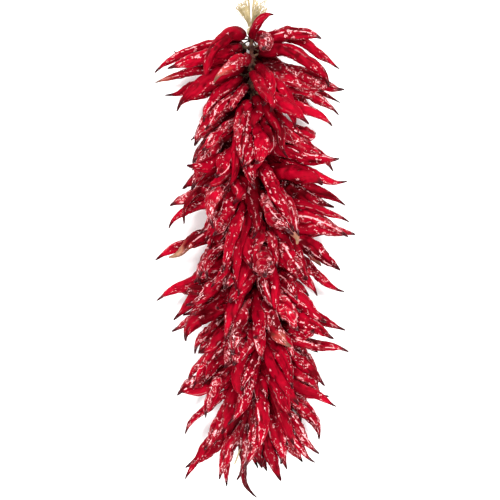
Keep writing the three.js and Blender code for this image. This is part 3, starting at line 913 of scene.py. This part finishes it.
@dataclass
class Stems:
    """The six stems of one bunch with their caps, as one piece."""

    bunch: BunchShape
    rng: np.random.Generator
    rings: int = 16
    sides: int = 10
    root_radius: float = 0.0016
    cap_radius: float = 0.0052
    lobes: int = 5
    lobe_depth: float = 0.12

    # The cap: how deep each of its rings lies, in metres, and how wide it is, as a share of the widest.
    CAP_DEPTHS = (0.0006, 0.0016, 0.0030, 0.0046)
    CAP_WIDTHS = (0.62, 0.88, 1.0, 0.92)
    # Where the cap starts, and a place below it, as shares along the pod.
    CAP_SHARES = (-0.085, -0.05)
    # How thick the stem is at places along it, as a share of its root.
    THICK_AT = (0, 0.3, 0.85, 1)
    THICKNESS = (1.0, 0.8, 0.9, 1.5)
    SKIN_ROUND = 0.002  # how far the skin's own place goes round the stem and along it, in metres
    SKIN_ALONG = 0.03

    def grow(self, stock: Stock, line: PodLine) -> None:
        """Adds one stem, from the tie to the cap that sits on the pod's shoulder."""
        start = line.root
        top, inside = line.at(np.array(self.CAP_SHARES))
        forward = unit(inside - top)
        bend = top - forward * 0.45 * np.linalg.norm(top - start)
        shares = np.linspace(0, 1, self.rings - len(self.CAP_DEPTHS))[:, None]
        shaft = start * (1 - shares) ** 2 + bend * 2 * shares * (1 - shares) + top * shares**2
        cap_depth = np.array(self.CAP_DEPTHS)[:, None]
        points = np.concatenate([shaft, top + forward * cap_depth])
        thick = np.interp(shares[:, 0], self.THICK_AT, self.THICKNESS) * self.root_radius
        cap = np.array(self.CAP_WIDTHS) * min(self.cap_radius, 0.5 * float(line.radii[1]))
        radii = np.concatenate([thick, cap])
        _, across, beside = carried_frames(points, unit(np.array([0.3, 0.2, 1.0])))
        angle = np.linspace(0, 2 * math.pi, self.sides, endpoint=False)
        lobes = self.lobe_depth * np.cos(self.lobes * angle)[None, :]
        lobed = 1 + lobes * np.linspace(0, 1, self.rings)[:, None]
        radius = radii[:, None] * lobed
        ring = rings_about(points, across, beside, radius, angle)
        corners = np.concatenate([ring.reshape(-1, 3), points[:1], points[-1:]])
        run = np.linspace(0, self.SKIN_ALONG, self.rings)
        around = [np.tile(turn(angle), self.rings) * self.SKIN_ROUND for turn in (np.cos, np.sin)]
        place = np.stack([*around, np.repeat(run, self.sides)], axis=-1)
        ends = np.array([[0, 0, 0], [0, 0, run[-1]]])
        stock.add(
            corners,
            tube_faces(self.rings, self.sides),
            {Mark.PLACE: np.concatenate([place, ends]) + self.rng.uniform(0, 50, 3)},
        )

    def make(self, material: Material) -> Object:
        """Makes the piece."""
        stock = Stock()
        for line in self.bunch.pods:
            self.grow(stock, line)
        return stock.piece(f"{self.bunch.name}_stems", material)


# ---- Twine ---------------------------------------------------------------------------------------


# The fibres of a frayed end: points on each, how it spreads, how it curls and how far it thins
FIBRE_POINTS = 18
SPREAD_POWER = 1.7
CURL_PER_METRE = 90.0
CURL_APART = 7.0
CURL_SCALE = 1.3
CURL_SHARE = 1.6
THINNED_BY = 0.55

# Corners round each kind of strand, and steps in one turn of the winding
CORD_SIDES = 9
FIBRE_SIDES = 5
STRING_SIDES = 6
WINDING_STEPS = 16


class GeometryRecipe(Recipe):
    """A geometry tree that follows a line and ends as a mesh."""

    SOCKETS = {float: "NodeSocketFloat", int: "NodeSocketInt", Vector: "NodeSocketVector"}

    def __init__(self, name: str, inputs: dict[str, type]) -> None:
        """Makes the tree with its named inputs, each of the given type."""
        super().__init__(bpy.data.node_groups.new(name, "GeometryNodeTree"))
        kinds = {label: self.SOCKETS[kind] for label, kind in inputs.items()}
        sockets = {"Geometry": "NodeSocketGeometry", **kinds, "Material": "NodeSocketMaterial"}
        for label, kind in sockets.items():
            self.tree.interface.new_socket(label, in_out="INPUT", socket_type=kind)
        self.tree.interface.new_socket("Geometry", in_out="OUTPUT", socket_type="NodeSocketGeometry")
        self.inputs = {wire.socket.name: wire for wire in self.node("NodeGroupInput")}

    def step(self, kind: str, values: dict[str, object], **settings: str) -> Wire:
        """The first output of one geometry node."""
        return self.node(f"GeometryNode{kind}", settings, values)[0]

    def copied_line(self, amount: str, mode: str, spacing: dict[str, object]) -> list[Wire]:
        """The line that is given, cut evenly and copied, and each copy's number."""
        line = self.step("MeshToCurve", {"Mesh": self.inputs["Geometry"]})
        even = self.step("ResampleCurve", {"Curve": line, **spacing}, mode=mode)
        values = {"Geometry": even, "Amount": self.inputs[amount]}
        return self.node("GeometryNodeDuplicateElements", {"domain": "SPLINE"}, values)

    def stored(self, geometry: Wire, mark: Mark, value: Wire) -> Wire:
        """Writes a mark on the geometry's points."""
        values = {"Geometry": geometry, "Name": mark.value, "Value": value}
        return self.step("StoreNamedAttribute", values, data_type="FLOAT", domain="POINT")

    def strand_mesh(self, curve: Wire, radius: Wire, sides: int) -> Wire:
        """A round strand along a curve, with the marks that its fibres follow."""
        marked = self.stored(curve, Mark.RUN, self.node("GeometryNodeSplineParameter")[1])
        circle = {"Resolution": sides, "Radius": radius}
        turn = self.node("GeometryNodeSplineParameter")[0] * (2 * math.pi)
        profile = self.stored(self.step("CurvePrimitiveCircle", circle, mode="RADIUS"), Mark.TURN, turn)
        return self.step("CurveToMesh", {"Curve": marked, "Profile Curve": profile, "Fill Caps": True})

    def close(self, geometry: Wire) -> NodeTree:
        """Ends the tree: smooth, real and dressed."""
        smooth = self.step("SetShadeSmooth", {"Geometry": geometry})
        real = self.step("RealizeInstances", {"Geometry": smooth})
        dressed = self.step("SetMaterial", {"Geometry": real, "Material": self.inputs["Material"]})
        self.node("NodeGroupOutput", values={"Geometry": dressed})
        return self.tree


def laid_cord_tree() -> NodeTree:
    """Strands laid round each other along a line."""
    sizes = ("Lay Radius", "Strand Radius", "Turns per Metre", "Step")
    recipe = GeometryRecipe("laid_cord", {"Strands": int, **dict.fromkeys(sizes, float)})
    strands, index = recipe.copied_line("Strands", "LENGTH", {"Length": recipe.inputs["Step"]})
    tangent = recipe.node("GeometryNodeInputTangent")[0]
    normal = recipe.node("GeometryNodeInputNormal")[0]
    length = recipe.node("GeometryNodeSplineParameter")[1]
    turns = length * recipe.inputs["Turns per Metre"] + index / recipe.inputs["Strands"]
    angle = turns * (2 * math.pi)
    side = recipe.vector("CROSS_PRODUCT", tangent, normal)
    out = recipe.vector("SCALE", normal, angle.cosine())
    away = recipe.vector("ADD", out, recipe.vector("SCALE", side, angle.sine()))
    offset = recipe.vector("SCALE", away, recipe.inputs["Lay Radius"])
    laid = recipe.step("SetPosition", {"Geometry": strands, "Offset": offset})
    return recipe.close(recipe.strand_mesh(laid, recipe.inputs["Strand Radius"], CORD_SIDES))


def fray_tree() -> NodeTree:
    """Loose fibres that spread from a line."""
    sizes = ("Root Spread", "Spread", "Fibre Radius")
    recipe = GeometryRecipe("frayed_fibres", {"Fibres": int, **dict.fromkeys(sizes, float), "Seed": int})
    spread = recipe.inputs["Spread"]
    fibres, index = recipe.copied_line("Fibres", "COUNT", {"Count": FIBRE_POINTS})
    factor = recipe.node("GeometryNodeSplineParameter")[0]
    way = recipe.node(
        "FunctionNodeRandomValue",
        {"data_type": "FLOAT_VECTOR"},
        {"Min": (-1.0, -1.0, -1.0), "Max": (1.0, 1.0, 1.0), "ID": index, "Seed": recipe.inputs["Seed"]},
    )[0]
    reach = recipe.inputs["Root Spread"] + spread * factor**SPREAD_POWER
    position = recipe.node("GeometryNodeInputPosition")[0]
    apart = recipe.vector("SCALE", way, CURL_APART)
    shifted = recipe.vector("ADD", recipe.vector("SCALE", position, CURL_PER_METRE), apart)
    noise = {"Vector": shifted, "Scale": CURL_SCALE, "Detail": 1.0}
    curl = recipe.node("ShaderNodeTexNoise", values=noise)[1]
    middle = recipe.vector("SUBTRACT", curl, (0.5, 0.5, 0.5))
    curled = recipe.vector("SCALE", middle, spread * factor * CURL_SHARE)
    offset = recipe.vector("ADD", recipe.vector("SCALE", way, reach), curled)
    loose = recipe.step("SetPosition", {"Geometry": fibres, "Offset": offset})
    thin = recipe.step("SetCurveRadius", {"Curve": loose, "Radius": 1.0 - factor * THINNED_BY})
    return recipe.close(recipe.strand_mesh(thin, recipe.inputs["Fibre Radius"], FIBRE_SIDES))


def winding_tree() -> NodeTree:
    """String wound round a bundle."""
    places = {"Place": Vector, "Heading": Vector}
    recipe = GeometryRecipe("string_winding", {**dict.fromkeys(TIE_SIZES, float), **places})
    sockets = ("Rotations", "Start Radius", "End Radius", "Height")
    sizes = {socket: recipe.inputs[label] for socket, label in zip(sockets, TIE_SIZES)}
    spiral = recipe.step("CurveSpiral", {"Resolution": WINDING_STEPS, **sizes})
    wound = recipe.strand_mesh(spiral, recipe.inputs["String Radius"], STRING_SIDES)
    aim = {"Vector": recipe.inputs["Heading"]}
    heading = recipe.node("FunctionNodeAlignRotationToVector", {"axis": "Z"}, aim)[0]
    lowered = recipe.node("ShaderNodeCombineXYZ", values={2: recipe.inputs["Height"] * -0.5})[0]
    centred = recipe.step("Transform", {"Geometry": wound, "Translation": lowered})
    place = {"Rotation": heading, "Translation": recipe.inputs["Place"]}
    return recipe.close(recipe.step("Transform", {"Geometry": centred, **place}))


def grown(
    name: str,
    tree: NodeTree,
    line: np.ndarray,
    settings: dict[str, object],
    material: Material,
) -> Object:
    """Runs a geometry tree on a line and keeps the result as a plain mesh.

    Args:
        name: The piece's name.
        tree: The geometry tree.
        line: The points of the line that it follows, as rows.
        settings: The tree's named inputs.
        material: The piece's finish.

    Returns:
        The finished piece.
    """
    mesh = bpy.data.meshes.new(f"{name}_line")
    mesh.from_pydata([tuple(point) for point in line], [(i, i + 1) for i in range(len(line) - 1)], [])
    host = linked(f"{name}_line", mesh)
    modifier = host.modifiers.new("grow", "NODES")
    modifier.node_group = tree
    by_name = {
        item.name: item.identifier
        for item in tree.interface.items_tree
        if item.item_type == "SOCKET" and item.in_out == "INPUT"
    }
    for label, value in {**settings, "Material": material}.items():
        modifier[by_name[label]] = value
    host.update_tag()
    bpy.context.view_layer.update()
    result = bpy.data.meshes.new_from_object(host.evaluated_get(bpy.context.evaluated_depsgraph_get()))
    result.name = name
    bpy.data.objects.remove(host)
    return linked(name, result)


def smooth_line(points: np.ndarray, per_span: int) -> np.ndarray:
    """A smooth line through points, with so many steps between two of them."""
    padded = np.concatenate([2 * points[:1] - points[1:2], points, 2 * points[-1:] - points[-2:-1]])
    steps = np.arange(per_span) / per_span
    spans = []
    for before, start, end, after in zip(padded, padded[1:], padded[2:], padded[3:]):
        t = steps[:, None]
        spans.append(
            0.5
            * (
                2 * start
                + (end - before) * t
                + (2 * before - 5 * start + 4 * end - after) * t**2
                + (3 * start - before - 3 * end + after) * t**3
            )
        )
    return np.concatenate([*spans, points[-1:]])


def middle_of(node: str) -> Vector:
    """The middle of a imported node's box."""
    low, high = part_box(node)
    return (low + high) / 2


@dataclass
class Twine:
    """The heavy twine that carries the bunches, with its knots, its ends and its loop."""

    ties: np.ndarray
    finish: Material
    stained: Material
    cord_tree: NodeTree
    fibre_tree: NodeTree
    radius: float = 0.0042
    strands: int = 3
    knot_turns: float = 3.2
    knot_radius: float = 0.0055
    loop_radius: float = 0.0022
    tail_radius: float = 0.0015
    fibres: int = 46
    fibre_radius: float = 0.00060
    fray_root: float = 0.0030
    fray_spread: float = 0.0100
    knot_cord_radius: float = 0.0031
    knot_length: float = 0.0125

    # A strand's way from the cord's middle, its radius and its steps, as shares of the cord's radius
    LAY_SHARE = 0.50
    STRAND_SHARE = 0.52
    STEP_SHARE = 0.55

    # How many turns the strands of each cord make in a metre
    CORE_LAY = 38
    KNOT_LAY = 60
    LOOP_LAY = 75
    TAIL_LAY = 110

    # The end that is tucked through a knot, from its middle: on along the twine, up and across it.
    TUCK = (
        (0.0078, 0.0040, 0.0),
        (0.0030, 0.0078, 0.0010),
        (-0.0035, 0.0078, -0.0012),
        (-0.0082, 0.0040, -0.0010),
        (-0.0088, 0.0, 0.0),
    )

    # The loop, out from the knot and back to it, from the middle of the tied length.
    LOOP_ROUTE = (
        (-0.0084, 0.3770, 0.0466), (-0.0086, 0.3830, 0.0449),
        (-0.0086, 0.3920, 0.0415), (-0.0088, 0.4030, 0.0335), (-0.0090, 0.4150, 0.0245),
        (-0.0098, 0.4270, 0.0165), (-0.0118, 0.4390, 0.0095), (-0.0150, 0.4520, 0.0058),
        (-0.0188, 0.4660, 0.0041), (-0.0222, 0.4800, 0.0039), (-0.0240, 0.4940, 0.0039),
        (-0.0220, 0.5080, 0.0039), (-0.0145, 0.5185, 0.0039), (-0.0045, 0.5220, 0.0039),
        (0.0055, 0.5180, 0.0039), (0.0128, 0.5070, 0.0039), (0.0140, 0.4920, 0.0039),
        (0.0118, 0.4780, 0.0039), (0.0082, 0.4640, 0.0041), (0.0042, 0.4500, 0.0062),
        (0.0010, 0.4370, 0.0105), (-0.0008, 0.4250, 0.0180), (-0.0014, 0.4130, 0.0260),
        (-0.0017, 0.4020, 0.0342), (-0.0020, 0.3915, 0.0418),
        (-0.0024, 0.3830, 0.0450), (-0.0024, 0.3770, 0.0467),
    )

    def laid(
        self, name: str, line: np.ndarray, radius: float, turns: float, stained: bool = False
    ) -> Object:
        """Lays strands along a line.

        Args:
            name: The piece's name.
            line: The line, as rows.
            radius: Of the whole cord.
            turns: How many turns each strand makes in a metre.
            stained: Whether the skins have coloured it.

        Returns:
            The finished piece.
        """
        settings = {
            "Strands": self.strands,
            "Lay Radius": radius * self.LAY_SHARE,
            "Strand Radius": radius * self.STRAND_SHARE,
            "Turns per Metre": turns,
            "Step": radius * self.STEP_SHARE,
        }
        return grown(name, self.cord_tree, line, settings, self.stained if stained else self.finish)

    def core(self) -> Object:
        """The twine through the ties, from knot to knot."""
        ends = [np.array(middle_of("top_knot")), np.array(middle_of("bottom_knot"))]
        route = np.concatenate([ends[:1], self.ties, ends[1:]])
        eased = route.copy()
        for _ in range(3):
            eased[1:-1] = (eased[:-2] + 2 * eased[1:-1] + eased[2:]) / 4
        line = smooth_line(eased, 4)
        return self.laid("core_twine_strands", line, self.radius, self.CORE_LAY, stained=True)

    def knot(self, node: str, beside: np.ndarray) -> Object:
        """A packed knot, wound on from the tie beside it, with the twine's end tucked through."""
        middle = np.array(middle_of(node))
        way = unit(middle - beside)
        across = unit(np.cross(way, [0.0, 0.0, 1.0]))
        up = np.cross(across, way)
        shares = np.linspace(0, 1, 60)[:, None]
        angle = shares * self.knot_turns * 2 * math.pi
        wound = self.knot_radius * (0.9 + 0.14 * np.sin(shares * math.pi))
        coil = (
            middle
            + way * (shares - 0.5) * self.knot_length
            + across * wound * np.cos(angle)
            + up * wound * np.sin(angle)
        )
        tucked = [middle + way * on + up * over + across * aside for on, over, aside in self.TUCK]
        tuck = np.array([coil[-1], *tucked])
        line = np.concatenate([coil[:-1], smooth_line(tuck, 6)])
        return self.laid(f"{node}_strands", line, self.knot_cord_radius, self.KNOT_LAY)

    def loose(
        self, name: str, line: np.ndarray, radius: float, turns: float, far_end: str
    ) -> Object:
        """Lays a cord along a line.

        Args:
            name: The piece's name.
            line: The line that it lies on, as rows.
            radius: Of the whole cord.
            turns: How many turns each strand makes in a metre.
            far_end: What its far end goes to. Not used.

        Returns:
            The finished piece.
        """
        made = self.laid(name, line, radius, turns)
        return made

    def loop(self) -> Object:
        """The hanging loop, out and back as one piece of twine."""
        points = np.array(self.LOOP_ROUTE) + np.array(FROM_TIED_MIDDLE)
        line = smooth_line(points, 6)
        return self.loose("hanging_loop_strands", line, self.loop_radius, self.LOOP_LAY, "object")

    def tail(self) -> Object:
        """The twine's lower end, which comes out among the last pods."""
        points = NodeShape("twine_tail").bar_line(middle_of("bottom_knot"), 6)
        line = smooth_line(points, 6)
        return self.loose("twine_tail_strands", line, self.tail_radius, self.TAIL_LAY, "bare")

    def frayed(self, node: str, seed: int) -> Object:
        """One end of the twine that has come apart."""
        points = NodeShape(node).bar_line(middle_of("top_knot"), 6)
        settings = {
            "Fibres": self.fibres,
            "Root Spread": self.fray_root,
            "Spread": self.fray_spread,
            "Fibre Radius": self.fibre_radius,
            "Seed": seed,
        }
        return grown(f"{node}_fibres", self.fibre_tree, smooth_line(points, 4), settings, self.finish)


# ---- Setting -------------------------------------------------------------------------------------


@dataclass
class Setting:
    """The pale floor, the soft lights and the camera."""

    floor_size: float = 9.0
    lens: float = 90.0
    sensor: float = 36.0
    seen_width: float = 0.930
    seen_middle: tuple[float, float] = (-0.0114, -0.0055)
    seen_height: float = 0.10
    lights: int = 6
    leans: tuple[float, float] = (0.50, 0.95)
    light_reach: float = 2.6
    light_side: float = 0.36
    light_power: float = 35.0
    first_light: float = 0.35  # how far round the first light stands, as a share of the step to the next
    aim_height: float = 0.08
    sky_strength: float = 0.45

    def floor(self) -> None:
        """The sheet that the ristra lies on."""
        half = self.floor_size / 2
        mesh = bpy.data.meshes.new("floor")
        corners = [(-half, -half, 0), (half, -half, 0), (half, half, 0), (-half, half, 0)]
        mesh.from_pydata(corners, [], [(0, 1, 2, 3)])
        mesh.materials.append(FloorFinish().material())
        made = linked("floor", mesh)

    def light(self, name: str, place: Sequence[float], side: float, power: float) -> None:
        """A square soft light that faces the ristra."""
        data = bpy.data.lights.new(name, "AREA")
        data.shape = "SQUARE"
        data.size = side
        data.energy = power
        lamp = linked(name, data)
        lamp.location = place
        lamp.rotation_mode = "QUATERNION"
        lamp.rotation_quaternion = (Vector((0, 0, self.aim_height)) - Vector(place)).to_track_quat("-Z", "Y")

    def sky(self, strength: float) -> None:
        """The even light all round."""
        world = bpy.data.worlds.new("studio")
        world.use_nodes = True
        ground = world.node_tree.nodes["Background"]
        ground.inputs["Color"].default_value = (1.0, 1.0, 1.0, 1)
        ground.inputs["Strength"].default_value = strength
        bpy.context.scene.world = world

    def camera(self) -> None:
        """The camera, straight above."""
        data = bpy.data.cameras.new("camera")
        data.lens = self.lens
        data.sensor_width = self.sensor
        data.clip_end = 50
        camera = linked("camera", data)
        distance = self.seen_width * self.lens / self.sensor
        camera.location = (*self.seen_middle, self.seen_height + distance)
        bpy.context.scene.camera = camera

    def build(self) -> None:
        """Sets the floor, the lights and the camera."""
        bpy.context.scene.view_settings.view_transform = "Standard"
        self.floor()
        self.sky(self.sky_strength)
        for number in range(self.lights):
            turn = 2 * math.pi * (number + self.first_light) / self.lights
            lean = self.leans[number % len(self.leans)]
            place = (
                self.light_reach * math.cos(turn) * math.sin(lean),
                self.light_reach * math.sin(turn) * math.sin(lean),
                self.light_reach * math.cos(lean),
            )
            self.light(f"studio_{number + 1}", place, self.light_side, self.light_power)
        self.camera()


# ---- Assembly ------------------------------------------------------------------------------------


def dress(piece: Object, slot: Slot, *nodes: str) -> None:
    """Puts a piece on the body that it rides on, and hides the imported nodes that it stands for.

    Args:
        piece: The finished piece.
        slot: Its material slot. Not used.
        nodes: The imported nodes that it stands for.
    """
    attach(piece, BODY)
    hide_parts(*nodes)
    log.info("%s: %d faces", piece.name, len(piece.data.polygons))


def build_bunches() -> np.ndarray:
    """Builds every bunch, with pods, stems and tie, and returns the middle of each tie."""
    skin = SkinFinish().material()
    stem = StemFinish().material()
    string = TIE_STRING.material()
    winding = winding_tree()
    noise = SkinNoise(SKIN_SEED)
    bunches = [BunchShape(f"bunch_{number + 1:02d}") for number in range(BUNCH_COUNT)]
    ties = np.array([bunch.tie_middle for bunch in bunches])
    headings = unit(np.gradient(ties, axis=0))
    for number, bunch in enumerate(bunches):
        if len(bunch.pods) != PODS_PER_BUNCH:
            raise RuntimeError(f"{bunch.name} was read back with {len(bunch.pods)} pods")
        rng = np.random.default_rng(FIRST_BUNCH_SEED + number)
        dress(Pods(bunch, noise, rng).make(skin), Slot.SKIN, bunch.name)
        dress(Stems(bunch, rng).make(stem), Slot.STEM, bunch.name)
        settings = {**TIE_SIZES, "Place": tuple(ties[number]), "Heading": tuple(headings[number])}
        tie = grown(f"{bunch.name}_tie", winding, ties[number : number + 1], settings, string)
        dress(tie, Slot.TWINE, bunch.name)
    return ties


def build_twine(ties: np.ndarray) -> None:
    """Builds the twine and all that belongs to it."""
    finish, stained = NATURAL_TWINE.material(), STAINED_TWINE.material()
    twine = Twine(ties, finish, stained, laid_cord_tree(), fray_tree())
    dress(twine.loop(), Slot.TWINE, "hanging_loop")
    dress(twine.tail(), Slot.TWINE, "twine_tail")
    dress(twine.core(), Slot.TWINE, "core_twine")
    for node, tie in (("top_knot", ties[0]), ("bottom_knot", ties[-1])):
        dress(twine.knot(node, tie), Slot.TWINE, node)
    for node, seed in (("frayed_end_left", LEFT_FRAY_SEED), ("frayed_end_right", RIGHT_FRAY_SEED)):
        dress(twine.frayed(node, seed), Slot.TWINE, node)


def main() -> None:
    """Builds the ristra and its setting."""
    logging.basicConfig(level=logging.INFO, format="%(name)s %(message)s")
    Setting().build()
    ties = build_bunches()
    build_twine(ties)


if __name__ == "__main__":
    main()
